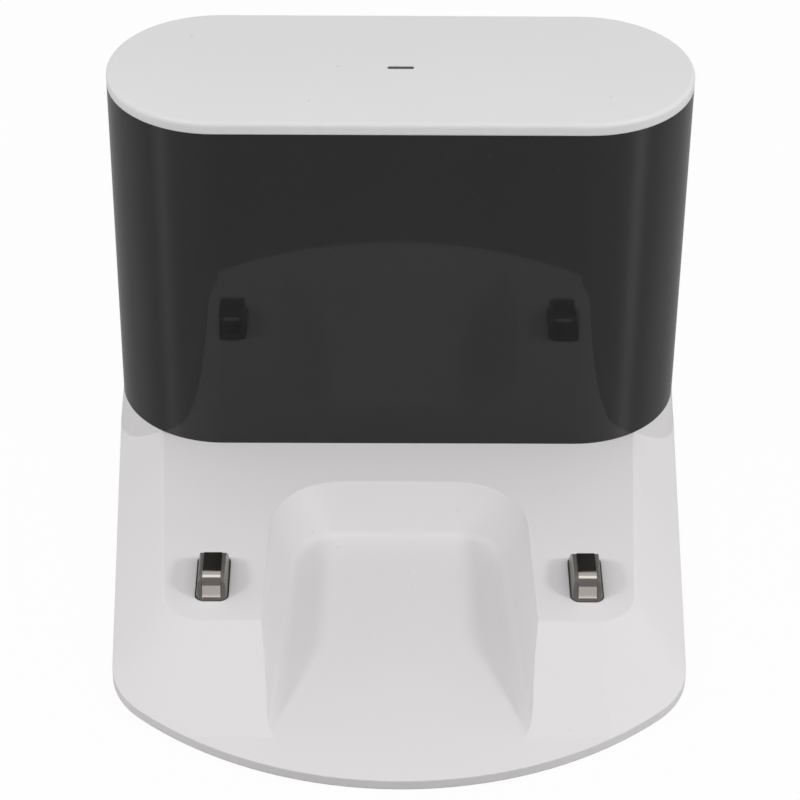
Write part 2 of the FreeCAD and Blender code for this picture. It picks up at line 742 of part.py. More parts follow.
def make_base_shell():
    body = new_body("base_shell")
    lip = new_sketch(body, "lip_outline", dim.foot_height)
    draw_lip(lip)
    pad(body, lip, dim.lip_height)

    wing_foot = new_sketch(body, "wing_foot", lip_top)
    draw_wing_foot(wing_foot)
    shoulder_level = dim.deck_height - dim.deck_edge_bevel / 2
    shoulder = new_sketch(body, "shoulder_outline", shoulder_level)
    draw_deck(shoulder, dim.deck_edge_bevel / 2)
    loft(body, "AdditiveLoft", wing_foot, shoulder)
    shoulder_foot = new_sketch(body, "shoulder_foot", shoulder_level)
    draw_deck(shoulder_foot, dim.deck_edge_bevel / 2)
    deck = new_sketch(body, "deck_outline", dim.deck_height)
    draw_deck(deck, -dim.deck_edge_bevel / 2)
    loft(body, "AdditiveLoft", shoulder_foot, deck)

    plinth_foot = new_sketch(body, "plinth_foot", lip_top)
    stadium(plinth_foot, rear_straight, rear_radius, tower_y)
    plinth_top = new_sketch(body, "plinth_top", dim.deck_height)
    stadium(plinth_top, tower_straight, tower_radius, tower_y)
    loft(body, "AdditiveLoft", plinth_foot, plinth_top)

    channel = body.newObject("PartDesign::Boolean", "channel_cut")
    channel.setObjects([make_channel_form()])
    channel.Type = "Cut"
    body.Tip = channel

    seat = new_sketch(body, "plate_seat", dim.foot_height)
    draw_horseshoe(seat, rear_straight, rear_radius - dim.rib + dim.plate_ledge,
                   underside(dim.plate_ledge))
    pocket(body, seat, dim.plate_thickness, reverse=True)
    hollow_low = new_sketch(body, "hollow_low", plate_top)
    draw_horseshoe(hollow_low, rear_straight, rear_radius - dim.rib, underside(zero))
    hollow_high = new_sketch(body, "hollow_high", deck_under)
    draw_horseshoe(hollow_high, tower_straight, tower_radius - dim.skin, under_deck())
    loft(body, "SubtractiveLoft", hollow_low, hollow_high)

    bosses = new_sketch(body, "screw_bosses", plate_top)
    for x, y in plate_screws_at:
        circle(bosses, x, y, dim.boss_diameter)
    pad(body, bosses, deck_under + dim.skin / 2 - plate_top)

    pilot_holes = new_sketch(body, "pilot_holes", plate_top)
    for x, y in plate_screws_at:
        circle(pilot_holes, x, y, dim.screw_diameter + dim.screw_clearance)
    pocket(body, pilot_holes, dim.plate_screw_length, reverse=True)

    openings = new_sketch(body, "deck_openings", dim.deck_height)
    half_width = dim.contact_width / 2 + dim.contact_gap
    for x in contacts_at:
        rounded_rectangle(openings, x - half_width, x + half_width,
                          contact_front_y - dim.contact_gap,
                          contact_back_y + dim.contact_gap,
                          dim.contact_corner + dim.contact_gap)
    for x, y in tower_screws_at:
        circle(openings, x, y, dim.screw_diameter + dim.screw_clearance)
    rounded_rectangle(openings, -tower_straight / 2, tower_straight / 2,
                      tower_front + dim.tower_wall + dim.skin, board_back,
                      dim.boss_diameter / 2)
    pocket(body, openings, dim.skin * 2)
    return body


def make_bottom_plate():
    body = new_body("bottom_plate")
    outline = new_sketch(body, "plate_outline", dim.foot_height)
    fit = dim.plate_ledge - dim.plate_gap
    draw_horseshoe(outline, rear_straight, rear_radius - dim.rib + fit, underside(fit))
    pad(body, outline, dim.plate_thickness)
    posts = new_sketch(body, "spring_posts", plate_top)
    for x in contacts_at:
        circle(posts, x, contact_mid_y, dim.spring_post)
    pad(body, posts, dim.spring_post_height)
    wells = new_sketch(body, "screw_wells", dim.foot_height)
    for x, y in plate_screws_at:
        circle(wells, x, y, dim.screw_head + dim.screw_clearance * 2)
    pocket(body, wells, dim.screw_head_height, reverse=True)
    holes = new_sketch(body, "screw_holes", dim.foot_height)
    for x, y in plate_screws_at:
        circle(holes, x, y, dim.screw_diameter + dim.screw_clearance)
    pocket(body, holes, dim.plate_thickness, reverse=True)
    recesses = new_sketch(body, "pad_recesses", dim.foot_height)
    for x, y in pads_at:
        circle(recesses, x, y, dim.pad_diameter)
    pocket(body, recesses, dim.pad_thickness - dim.foot_height, reverse=True)
    return body


pads_at = mirrored([
    (dim.front_width / 2 - dim.pad_front_inset, ramp_foot_y + dim.pad_front_setback),
    (dim.base_width / 2 - dim.pad_rear_inset, tower_y + dim.pad_rear_setback),
])


def make_rubber_feet():
    body = new_body("rubber_feet")
    rounds = new_sketch(body, "pads")
    for x, y in pads_at:
        circle(rounds, x, y, dim.pad_diameter)
    pad(body, rounds, dim.pad_thickness)
    dress(body, "Chamfer", "Size", dim.foot_height / 2, lambda edge: lies_at(edge, 0))
    return body


# Tower: black window in front, white housing behind, white cap over both

def make_front_window():
    body = new_body("front_window")
    outer = new_sketch(body, "window_outside", dim.deck_height)
    stadium_end(outer, tower_straight, tower_radius, tower_y, seam_y, front=True)
    pad(body, outer, cap_bottom - dim.deck_height)
    inner = new_sketch(body, "window_inside", dim.deck_height)
    stadium_end(inner, tower_straight, tower_radius - dim.tower_wall, tower_y, seam_y, front=True)
    pocket(body, inner, cap_bottom - dim.deck_height, reverse=True)
    add_screw_bosses(body, [spot for spot in tower_screws_at if spot[1].value < seam_y.value])
    return body


def add_screw_bosses(body, spots):
    bosses = new_sketch(body, body.Label + "_bosses", dim.deck_height)
    for x, y in spots:
        circle(bosses, x, y, dim.boss_diameter + dim.tower_wall / 2)
    pad(body, bosses, dim.tower_screw_length + dim.skin)
    holes = new_sketch(body, body.Label + "_pilots", dim.deck_height)
    for x, y in spots:
        circle(holes, x, y, dim.screw_diameter + dim.screw_clearance)
    pocket(body, holes, dim.tower_screw_length, reverse=True)


def board_screws_spots():
    edge = dim.board_edge
    power = [(dim.power_left + edge, dim.power_bottom + edge),
             (dim.power_right - edge, dim.power_top - edge)]
    beacon = [(sign * (dim.beacon_width / 2 - edge), beacon_bottom + edge) for sign in (-1, 1)]
    return power + beacon


def make_rear_housing():
    body = new_body("rear_housing")
    outer = new_sketch(body, "housing_outside", dim.deck_height)
    stadium_end(outer, tower_straight, tower_radius, tower_y, seam_y, front=False)
    pad(body, outer, cap_bottom - dim.deck_height)
    inner = new_sketch(body, "housing_inside", dim.deck_height)
    stadium_end(inner, tower_straight, tower_radius - dim.tower_wall, tower_y, seam_y, front=False)
    pocket(body, inner, cap_bottom - dim.deck_height, reverse=True)

    half = dim.bay_width / 2
    box = new_sketch(body, "bay_outside", -bay_plate_front, "XZ_Plane")
    rounded_rectangle(box, -half - dim.bay_wall, half + dim.bay_wall,
                      dim.bay_bottom - dim.bay_wall, bay_top + dim.bay_wall,
                      dim.bay_radius + dim.bay_wall)
    pad(body, box, tower_rear - dim.tower_wall / 2 - bay_plate_front, reverse=True)
    bay = new_sketch(body, "bay_inside", -tower_rear, "XZ_Plane")
    rounded_rectangle(bay, -half, half, dim.bay_bottom, bay_top, dim.bay_radius)
    pocket(body, bay, dim.bay_depth, reverse=True)

    troughs = new_sketch(body, "outlet_troughs", dim.tower_wall / 2 - tower_rear, "XZ_Plane")
    outlets = new_sketch(body, "cord_outlets", -tower_rear, "XZ_Plane")
    for sign in (-1, 1):
        middle = sign * (half - dim.bay_radius - dim.outlet_width / 2)
        low = dim.bay_bottom - dim.outlet_height
        reach = dim.outlet_width / 2 + dim.bay_wall
        rectangle(troughs, middle - reach, middle + reach, low - dim.bay_wall, dim.bay_bottom)
        rectangle(outlets, middle - dim.outlet_width / 2, middle + dim.outlet_width / 2, low,
                  dim.bay_bottom + dim.bay_wall)
    pad(body, troughs, dim.outlet_depth + dim.bay_wall - dim.tower_wall / 2)
    pocket(body, outlets, dim.outlet_depth, reverse=True)

    posts = new_sketch(body, "board_posts", -bay_plate_front, "XZ_Plane")
    for x, z in board_screws_spots():
        circle(posts, x, z, dim.post_diameter)
    pad(body, posts, dim.post_length)
    pilots = new_sketch(body, "post_pilots", -board_back, "XZ_Plane")
    for x, z in board_screws_spots():
        circle(pilots, x, z, dim.screw_diameter + dim.screw_clearance)
    pocket(body, pilots, dim.board_screw_length - dim.board_thickness)
    window = new_sketch(body, "inlet_window", -bay_plate_rear, "XZ_Plane")
    rectangle(window, dim.inlet_x - dim.inlet_width / 2 - dim.inlet_fit,
              dim.inlet_x + dim.inlet_width / 2 + dim.inlet_fit,
              dim.inlet_z - dim.inlet_height / 2 - dim.inlet_fit,
              dim.inlet_z + dim.inlet_height / 2 + dim.inlet_fit)
    pocket(body, window, dim.bay_wall * 2, reverse=True)
    add_screw_bosses(body, [spot for spot in tower_screws_at if spot[1].value > seam_y.value])
    return body


def make_top_cap():
    body = new_body("top_cap")
    outer = new_sketch(body, "cap_outline", cap_bottom)
    stadium(outer, tower_straight, tower_radius, tower_y)
    pad(body, outer, dim.cap_height)
    dress(body, "Fillet", "Radius", dim.cap_round,
          lambda edge: lies_at(edge, dim.tower_height.value))
    skirt = new_sketch(body, "cap_skirt", cap_bottom)
    inset = tower_radius - dim.tower_wall - dim.cap_gap
    stadium(skirt, tower_straight, inset, tower_y)
    stadium(skirt, tower_straight, inset - dim.cap_skirt_wall, tower_y)
    pad(body, skirt, dim.cap_skirt, reverse=True)
    slot = new_sketch(body, "indicator_slot", dim.tower_height)
    rounded_rectangle(slot, -dim.slot_length / 2, dim.slot_length / 2,
                      tower_y - dim.slot_width / 2, tower_y + dim.slot_width / 2,
                      dim.slot_width * 0.45)
    pocket(body, slot, dim.cap_height)
    return body


def make_light_pipe():
    """A lens in the slot, a shoulder under the cap and an arm that reaches over the board."""
    body = new_body("light_pipe")
    lens = new_sketch(body, "lens", cap_bottom)
    half_length = dim.slot_length / 2 - dim.pipe_gap
    half_width = dim.slot_width / 2 - dim.pipe_gap
    rounded_rectangle(lens, -half_length, half_length, tower_y - half_width,
                      tower_y + half_width, dim.slot_width * 0.4)
    pad(body, lens, dim.cap_height - dim.pipe_gap)
    arm = new_sketch(body, "arm", zero, "YZ_Plane")
    rear = tower_y + dim.slot_width / 2 + dim.pipe_shoulder
    stem = tower_y - dim.slot_width / 2 - dim.pipe_shoulder
    low = led_top + dim.contact_gap
    polygon(arm, [(rear, cap_bottom), (stem, cap_bottom), (stem, low + dim.pipe_arm),
                  (board_front, low + dim.pipe_arm), (board_front, low), (rear, low)])
    pad(body, arm, dim.slot_length, midplane=True)
    return body


led_height = dim.rectifier_height / 2
led_top = beacon_top + led_height


def make_tower_screws():
    return make_screws("tower_screws", tower_screws_at, deck_under, dim.tower_screw_length, up=True)


# Boards and what they carry

def on_board(body, name, depth=zero):
    """A sketch in the plane of the boards' front face, moved forward by depth."""
    return new_sketch(body, name, depth - board_front, "XZ_Plane")


def make_board(label, left, right, bottom, top, spots):
    body = new_body(label)
    outline = new_sketch(body, label + "_outline", -board_back, "XZ_Plane")
    rounded_rectangle(outline, left, right, bottom, top, dim.board_edge / 4)
    for x, z in spots:
        circle(outline, x, z, dim.screw_diameter + dim.screw_clearance)
    pad(body, outline, dim.board_thickness)
    return body


def make_boards():
    spots = board_screws_spots()
    half = dim.beacon_width / 2
    return [
        make_board("power_board", dim.power_left, dim.power_right, dim.power_bottom,
                   dim.power_top, spots[:2]),
        make_board("beacon_board", -half, half, beacon_bottom, beacon_top, spots[2:]),
    ]


def make_transformer():
    core = new_body("transformer_core")
    half_width, half_height = dim.core_width / 2, dim.core_height / 2
    side = dim.core_leg / 2
    seat = (dim.winding_depth - dim.core_depth) / 2
    yokes = on_board(core, "core_outline", seat)
    rectangle(yokes, dim.core_x - half_width, dim.core_x + half_width,
              dim.core_z - half_height, dim.core_z + half_height)
    for sign in (-1, 1):
        near, far = sign * side, sign * (half_width - side / 2)
        low_x, high_x = sorted((near, far), key=lambda item: item.value)
        rectangle(yokes, dim.core_x + low_x, dim.core_x + high_x,
                  dim.core_z - half_height + dim.core_yoke, dim.core_z + half_height - dim.core_yoke)
    pad(core, yokes, dim.core_depth)

    winding = new_body("transformer_winding")
    gap = dim.winding_gap
    turns = new_sketch(winding, "turns", dim.core_z - half_height + dim.core_yoke + gap)
    reach = half_width - side / 2 - gap
    middle = board_front - dim.winding_depth / 2
    rounded_rectangle(turns, dim.core_x - reach, dim.core_x + reach, board_front - dim.winding_depth,
                      board_front, dim.core_leg / 3)
    rectangle(turns, dim.core_x - side - gap, dim.core_x + side + gap,
              middle - dim.core_depth / 2 - gap, middle + dim.core_depth / 2 + gap)
    pad(winding, turns, dim.core_height - 2 * dim.core_yoke - 2 * gap)
    return [core, winding]


def make_barrel(label, diameter, length, x, z):
    """A round part that lies along X on the board."""
    body = new_body(label)
    end = new_sketch(body, label + "_end", x, "YZ_Plane")
    circle(end, board_front - diameter / 2, z, diameter)
    pad(body, end, length)
    dress(body, "Fillet", "Radius", diameter * 0.08, lambda edge: edge.Length > diameter.value * 3)
    return body


def make_output_capacitor():
    body = new_body("output_capacitor")
    end = on_board(body, "can")
    circle(end, dim.output_x, dim.output_z, dim.output_diameter)
    pad(body, end, dim.output_length)
    front = (board_front - dim.output_length).value
    dress(body, "Fillet", "Radius", dim.output_diameter * 0.08,
          lambda edge: edge.BoundBox.YMax < front + 0.01)
    return body


def make_rectifier():
    body = new_body("rectifier")
    case = on_board(body, "case")
    half = dim.rectifier_side / 2
    rounded_rectangle(case, dim.rectifier_x - half, dim.rectifier_x + half, dim.rectifier_z - half,
                      dim.rectifier_z + half, dim.rectifier_side * 0.1)
    pad(body, case, dim.rectifier_height)
    return body


def make_beacon_leds():
    body = new_body("beacon_leds")
    lenses = on_board(body, "lenses")
    for step in (-2, -1, 0, 1, 2):
        circle(lenses, step * dim.beacon_led_pitch, beacon_led_z, dim.beacon_led_diameter)
    pad(body, lenses, dim.beacon_led_length)
    front = (board_front - dim.beacon_led_length).value
    dress(body, "Fillet", "Radius", dim.beacon_led_diameter * 0.45,
          lambda edge: edge.BoundBox.YMax < front + 0.01)
    return body


def make_indicator_led():
    body = new_body("indicator_led")
    case = new_sketch(body, "led_case", beacon_top)
    rectangle(case, -dim.slot_length / 4, dim.slot_length / 4, board_front, board_back)
    pad(body, case, led_height)
    return body


def make_board_screws():
    body = new_body("board_screws")
    heads = on_board(body, "board_screw_heads")
    shanks = new_sketch(body, "board_screw_shanks", -board_front, "XZ_Plane")
    for x, z in board_screws_spots():
        circle(heads, x, z, dim.screw_head)
        circle(shanks, x, z, dim.screw_diameter)
    pad(body, heads, dim.screw_head_height)
    pad(body, shanks, dim.board_screw_length, reverse=True)
    return body


def make_screws(label, spots, seat, length, up):
    """Pan-head screws that point up, with the top of each head's underside at seat."""
    body = new_body(label)
    heads = new_sketch(body, label + "_heads", seat)
    shanks = new_sketch(body, label + "_shanks", seat)
    for x, y in spots:
        circle(heads, x, y, dim.screw_head)
        circle(shanks, x, y, dim.screw_diameter)
    pad(body, heads, dim.screw_head_height, reverse=up)
    pad(body, shanks, length, reverse=not up)
    return body


def make_lead(label, routes):
    """Round leads along straight runs joined by arcs."""
    radius = dim.lead_diameter.value / 2
    solids = []
    for points in routes:
        points = [Vector(*[as_size(item).value for item in point]) for point in points]
        edges = rounded_route(points)
        start = edges[0].valueAt(edges[0].FirstParameter)
        ring = Part.Wire([Part.makeCircle(radius, start, points[1] - points[0])])
        solids.append(Part.Wire(edges).makePipeShell([ring], True, False))
    feature = doc.addObject("Part::Feature", label)
    feature.Label = label
    feature.Shape = solids[0] if len(solids) == 1 else Part.makeCompound(solids)
    return feature


def rounded_route(points):
    """Lines between the points, with a tangent arc at each bend."""
    edges = []
    start = points[0]
    for before, corner, after in zip(points[:-2], points[1:-1], points[2:]):
        into, away = (corner - before).normalize(), (after - corner).normalize()
        setback = 0.4 * min(before.distanceToPoint(corner), corner.distanceToPoint(after))
        first, last = corner - into * setback, corner + away * setback
        half_turn = into.getAngle(away) / 2
        bisector = (away - into).normalize()
        radius = setback / math.tan(half_turn)
        middle = corner + bisector * (radius / math.cos(half_turn) - radius)
        edges.append(Part.makeLine(start, first))
        edges.append(Part.Arc(first, middle, last).toShape())
        start = last
    edges.append(Part.makeLine(start, points[-1]))
    return edges


# Mains inlet in the bay

def make_mains_inlet():
    body = new_body("mains_inlet")
    flange = new_sketch(body, "inlet_flange", -bay_plate_rear, "XZ_Plane")
    half_width, half_height = dim.inlet_width / 2, dim.inlet_height / 2
    rim = dim.inlet_flange
    rounded_rectangle(flange, dim.inlet_x - half_width - rim, dim.inlet_x + half_width + rim,
                      dim.inlet_z - half_height - rim, dim.inlet_z + half_height + rim, rim)
    pad(body, flange, dim.inlet_flange_thickness, reverse=True)
    block = new_sketch(body, "inlet_block", -bay_plate_rear, "XZ_Plane")
    rectangle(block, dim.inlet_x - half_width, dim.inlet_x + half_width,
              dim.inlet_z - half_height, dim.inlet_z + half_height)
    pad(body, block, dim.inlet_depth)
    mouth = -(bay_plate_rear + dim.inlet_flange_thickness)
    for sign in (-1, 1):
        socket = new_sketch(body, "socket_left" if sign < 0 else "socket_right", mouth, "XZ_Plane")
        circle(socket, dim.inlet_x + sign * dim.socket_spread / 2, dim.inlet_z, dim.socket_diameter)
        pocket(body, socket, dim.socket_depth, reverse=True)
    waist = new_sketch(body, "socket_waist", mouth, "XZ_Plane")
    rectangle(waist, dim.inlet_x - dim.socket_spread / 2, dim.inlet_x + dim.socket_spread / 2,
              dim.inlet_z - dim.socket_diameter * 0.4, dim.inlet_z + dim.socket_diameter * 0.4)
    pocket(body, waist, dim.socket_depth, reverse=True)
    bores = new_sketch(body, "pin_bores", -bay_plate_rear, "XZ_Plane")
    for sign in (-1, 1):
        circle(bores, dim.inlet_x + sign * dim.pin_spread / 2, dim.inlet_z, dim.pin_diameter)
    pocket(body, bores, dim.inlet_depth * 2, reverse=True)
    return body


def make_inlet_pins():
    body = new_body("inlet_pins")
    rear = bay_plate_rear - dim.inlet_depth - dim.pin_tail
    floor = bay_plate_rear + dim.inlet_flange_thickness - dim.socket_depth
    pins = new_sketch(body, "pins", -(floor + dim.pin_length), "XZ_Plane")
    for sign in (-1, 1):
        circle(pins, dim.inlet_x + sign * dim.pin_spread / 2, dim.inlet_z, dim.pin_diameter)
    pad(body, pins, floor + dim.pin_length - rear)
    dress(body, "Fillet", "Radius", dim.pin_diameter * 0.3,
          lambda edge: edge.BoundBox.YMin > (floor + dim.pin_length).value - 0.01)
    return body


# Sprung charging contacts

def head_profile():
    """Side view of a contact's head, from its front foot over both crests to its back foot."""
    return [
        (contact_front_y, dim.deck_height),
        (contact_front_y + dim.contact_front_run, contact_top),
        (contact_back_y - dim.contact_back_run, contact_top - dim.contact_fall),
        (contact_back_y, dim.deck_height),
    ]


def strip_route():
    """Middle line of the strip: up the back, over the head's crests and down the front."""
    front_share = dim.strip_dive / dim.contact_rise
    back_share = dim.strip_dive / (dim.contact_rise - dim.contact_fall)
    front_leg = contact_front_y + dim.contact_front_run * front_share
    back_leg = contact_back_y - dim.contact_back_run * back_share
    dive = dim.deck_height + dim.strip_dive
    front_crest, back_crest = head_profile()[1:3]
    return [
        (back_leg, flange_bottom - dim.strip_tail),
        (back_leg, dive),
        back_crest,
        front_crest,
        (front_leg, dive),
        (front_leg, deck_under),
    ]


def bent_line(sketch, points, radii):
    """Straight runs through the points, with a bend of its own radius at each inner corner."""
    flat = [(y.value, z.value) for y, z in points]
    starts, ends, bends = [flat[0]], [], []
    for before, corner, after, size in zip(flat[:-2], flat[1:-1], flat[2:], radii):
        radius = size.value
        into = math.atan2(corner[1] - before[1], corner[0] - before[0])
        away = math.atan2(after[1] - corner[1], after[0] - corner[0])
        turn = (away - into + math.pi) % (2 * math.pi) - math.pi
        back = radius * math.tan(abs(turn) / 2)
        first = (corner[0] - back * math.cos(into), corner[1] - back * math.sin(into))
        last = (corner[0] + back * math.cos(away), corner[1] + back * math.sin(away))
        side = math.copysign(math.pi / 2, turn)
        centre = (first[0] + radius * math.cos(into + side), first[1] + radius * math.sin(into + side))
        bends.append((centre, first, last, turn > 0))
        ends.append(first)
        starts.append(last)
    ends.append(flat[-1])
    runs = [line(sketch, *start, *end) for start, end in zip(starts, ends)]
    for index, (centre, first, last, left_turn) in enumerate(bends):
        begin, finish = (first, last) if left_turn else (last, first)
        angles = [math.degrees(math.atan2(p[1] - centre[1], p[0] - centre[0])) for p in (begin, finish)]
        if angles[1] < angles[0]:
            angles[1] += 360
        bend = arc(sketch, *centre, radii[index].value, *angles)
        entry, leave = (1, 2) if left_turn else (2, 1)
        sketch.addConstraint(Sketcher.Constraint("Tangent", runs[index], 2, bend, entry))
        sketch.addConstraint(Sketcher.Constraint("Tangent", bend, leave, runs[index + 1], 1))
        hold_radius(sketch, bend, radii[index])
    hold(sketch, runs[0], 1, *points[0])
    hold(sketch, runs[-1], 2, *points[-1])
    for index, (y, z) in enumerate(points[1:-1]):
        corner = sketch.addGeometry(Part.Point(Vector(y.value, z.value, 0)), True)
        hold(sketch, corner, 1, y, z)
        sketch.addConstraint(Sketcher.Constraint("PointOnObject", corner, 1, runs[index]))
        sketch.addConstraint(Sketcher.Constraint("PointOnObject", corner, 1, runs[index + 1]))
    return runs


def draw_head_waste(sketch):
    """What is cut away round a contact's head, down to its side view."""
    runs = bent_line(sketch, head_profile(), [dim.strip_front_bend, dim.strip_back_bend])
    front, back = contact_front_y - dim.contact_gap, contact_back_y + dim.contact_gap
    high = contact_top + dim.contact_gap
    corners = [(back, dim.deck_height), (back, high), (front, high), (front, dim.deck_height)]
    edges = [runs[-1]]
    for (y, z), (next_y, next_z) in zip([head_profile()[-1]] + corners, corners + [head_profile()[0]]):
        edges.append(line(sketch, y.value, z.value, next_y.value, next_z.value))
    edges.append(runs[0])
    for first, second in zip(edges, edges[1:]):
        meet(sketch, first, second)
    for edge, (y, z) in zip(edges[1:], corners):
        hold(sketch, edge, 2, y, z)


def sweep_strip(body, kind, x, side):
    """Sweep the strip's section along its route, as metal or as the groove that holds it."""
    route = new_sketch(body, f"route_{kind}_{side}", x, "YZ_Plane")
    bent_line(route, strip_route(),
              [dim.strip_dive_bend, dim.strip_back_bend, dim.strip_front_bend, dim.strip_dive_bend])
    section = new_sketch(body, f"section_{kind}_{side}", flange_bottom - dim.strip_tail)
    start = strip_route()[0][0]
    half_width, half_thickness = dim.strip_width / 2, dim.strip_thickness / 2
    rectangle(section, x - half_width, x + half_width, start - half_thickness, start + half_thickness)
    feature = body.newObject("PartDesign::" + kind, f"{kind}_{side}")
    feature.Profile = section
    feature.Spine = (route, [f"Edge{index}" for index in range(1, 10)])
    feature.Transition = "Round corner"
    body.Tip = feature


def make_contact(side, x):
    carrier = new_body("contact_carrier_" + side)
    half_width = dim.contact_width / 2
    top_half = dim.contact_top_width / 2
    head_foot = new_sketch(carrier, "head_foot_" + side, dim.deck_height)
    rounded_rectangle(head_foot, x - half_width, x + half_width, contact_front_y,
                      contact_back_y, dim.contact_corner)
    head_top = new_sketch(carrier, "head_top_" + side, contact_top)
    rounded_rectangle(head_top, x - top_half, x + top_half, contact_front_y,
                      contact_back_y, dim.contact_corner)
    loft(carrier, "AdditiveLoft", head_foot, head_top)
    waste = new_sketch(carrier, "head_waste_" + side, x, "YZ_Plane")
    draw_head_waste(waste)
    pocket(carrier, waste, dim.contact_width * 2, midplane=True)
    stem = new_sketch(carrier, "stem_" + side, flange_bottom)
    rounded_rectangle(stem, x - half_width, x + half_width, contact_front_y, contact_back_y,
                      dim.contact_corner)
    pad(carrier, stem, dim.deck_height - flange_bottom)
    flange = new_sketch(carrier, "flange_" + side, flange_bottom)
    rectangle(flange, x - half_width - dim.flange_reach, x + half_width + dim.flange_reach,
              contact_mid_y - dim.flange_length / 2, contact_mid_y + dim.flange_length / 2)
    pad(carrier, flange, dim.flange_thickness)
    sweep_strip(carrier, "SubtractivePipe", x, side)

    strip = new_body("contact_strip_" + side)
    sweep_strip(strip, "AdditivePipe", x, side)
    return [carrier, strip, make_spring(side, x)]


def make_spring(side, x):
    """An open coil between the bottom plate and the underside of the carrier."""
    body = new_body("contact_spring_" + side)
    wire = new_sketch(body, "spring_wire_" + side, zero, "XZ_Plane")
    circle(wire, (dim.spring_diameter - dim.spring_wire) / 2, zero, dim.spring_wire)
    coil = body.newObject("PartDesign::AdditiveHelix", "coil_" + side)
    coil.Profile = wire
    coil.ReferenceAxis = (wire, ["V_Axis"])
    coil.Mode = "height-turns-angle"
    bind(coil, "Height", flange_bottom - plate_top - dim.spring_wire)
    bind(coil, "Turns", dim.spring_turns)
    body.Tip = coil
    bind(body, ".Placement.Base.x", x)
    bind(body, ".Placement.Base.y", contact_mid_y)
    bind(body, ".Placement.Base.z", plate_top + dim.spring_wire / 2)
    return body


def make_leads():
    radius = dim.lead_diameter / 2
    tail_y = contact_back_y + dim.contact_gap
    run_z = flange_bottom - dim.strip_tail + radius
    leads = []
    for sign, side in ((-1, "left"), (1, "right")):
        start_x = sign * dim.boss_diameter
        start_y = board_front - radius
        leads.append(make_lead("contact_lead_" + side, [[
            (start_x, start_y, dim.power_bottom + dim.board_edge),
            (start_x, start_y, run_z),
            (start_x, tower_front, run_z),
            (sign * contact_x, channel_back_y - dim.skin, run_z),
            (sign * contact_x, tail_y, run_z),
        ]]))
    pin_end = bay_plate_rear - dim.inlet_depth - dim.pin_tail
    step_z = dim.inlet_z + dim.pin_spread
    routes = []
    for sign in (-1, 1):
        pin_x = dim.inlet_x + sign * dim.pin_spread / 2
        land_z = step_z - sign * dim.link_pitch
        routes.append([
            (pin_x, pin_end, dim.inlet_z),
            (pin_x, pin_end - dim.pin_tail, dim.inlet_z),
            (dim.power_right - dim.board_edge / 2, pin_end - dim.pin_tail, land_z),
            (dim.power_right - dim.board_edge / 2, board_front, land_z),
        ])
    leads.append(make_lead("inlet_leads", routes))
    links = []
    for step in (-1, 0, 1):
        link_x = step * dim.link_pitch - dim.boss_diameter * 2
        links.append([
            (link_x, board_front - radius, dim.power_top - dim.board_edge),
            (link_x, board_front - radius, beacon_bottom + dim.board_edge),
        ])
    leads.append(make_lead("link_leads", links))
    return leads


parts = [make_base_shell(), make_bottom_plate(), make_rubber_feet()]
parts.append(make_screws("plate_screws", plate_screws_at, dim.foot_height + dim.screw_head_height,
                         dim.plate_screw_length, up=True))
parts += [make_front_window(), make_rear_housing(), make_top_cap(), make_light_pipe()]
parts.append(make_tower_screws())
parts += make_boards() + make_transformer()
parts.append(make_barrel("bulk_capacitor", dim.bulk_diameter, dim.bulk_length, dim.bulk_x, dim.bulk_z))
parts.append(make_barrel("fuse", dim.fuse_diameter, dim.fuse_length, dim.fuse_x, dim.fuse_z))
parts += [make_output_capacitor(), make_rectifier(), make_beacon_leds(), make_indicator_led()]
parts += [make_board_screws(), make_mains_inlet(), make_inlet_pins()]
for side, x in (("left", -contact_x), ("right", contact_x)):
    parts += make_contact(side, x)
parts += make_leads()

doc.recompute()
faults = [item.Name for item in doc.Objects if "Invalid" in item.State or "Error" in item.State]
faults += [part.Label for part in parts if part.Shape.isNull() or not part.Shape.isValid()]
if faults:
    raise RuntimeError("failed: " + ", ".join(faults))

os.makedirs("parts", exist_ok=True)
for part in parts:
    part.Shape.exportStep(f"parts/{part.Label}.step")
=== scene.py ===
"""Looks, light and camera for the charging dock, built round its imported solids."""

import math

import bpy
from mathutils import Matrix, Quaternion, Vector


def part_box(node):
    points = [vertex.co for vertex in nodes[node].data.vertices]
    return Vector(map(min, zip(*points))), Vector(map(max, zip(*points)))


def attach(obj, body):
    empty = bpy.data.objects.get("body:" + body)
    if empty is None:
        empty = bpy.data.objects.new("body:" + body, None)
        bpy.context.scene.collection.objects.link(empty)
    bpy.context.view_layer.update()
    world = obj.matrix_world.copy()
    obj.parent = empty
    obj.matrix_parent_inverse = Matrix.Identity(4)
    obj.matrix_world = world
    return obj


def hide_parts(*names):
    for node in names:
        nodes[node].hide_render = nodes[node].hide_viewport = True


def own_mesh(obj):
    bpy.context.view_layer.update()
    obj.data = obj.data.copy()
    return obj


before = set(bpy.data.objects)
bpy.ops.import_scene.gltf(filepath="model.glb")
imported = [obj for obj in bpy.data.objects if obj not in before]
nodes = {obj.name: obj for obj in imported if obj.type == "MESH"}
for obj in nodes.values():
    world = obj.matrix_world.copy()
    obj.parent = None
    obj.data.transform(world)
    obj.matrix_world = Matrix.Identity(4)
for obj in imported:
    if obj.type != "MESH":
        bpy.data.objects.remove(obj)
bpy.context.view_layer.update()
bpy.ops.object.select_all(action="DESELECT")


# White housing: base moulding, bottom plate, rear housing and cap.
# Injection-moulded ABS with a fine spark-eroded grain and a few dark specks in the resin.
# The plate and the rear housing are screwed to the base, and the cap's skirt pushes into the tower.
def add_node(tree, kind, inputs=None, **settings):
    """A shader node. Its settings come first, then its inputs: plain values, or sockets to link."""
    made = tree.nodes.new("ShaderNode" + kind)
    for name, value in settings.items():
        setattr(made, name, value)
    for name, value in (inputs or {}).items():
        if isinstance(value, bpy.types.NodeSocket):
            tree.links.new(value, made.inputs[name])
        else:
            made.inputs[name].default_value = value
    return made


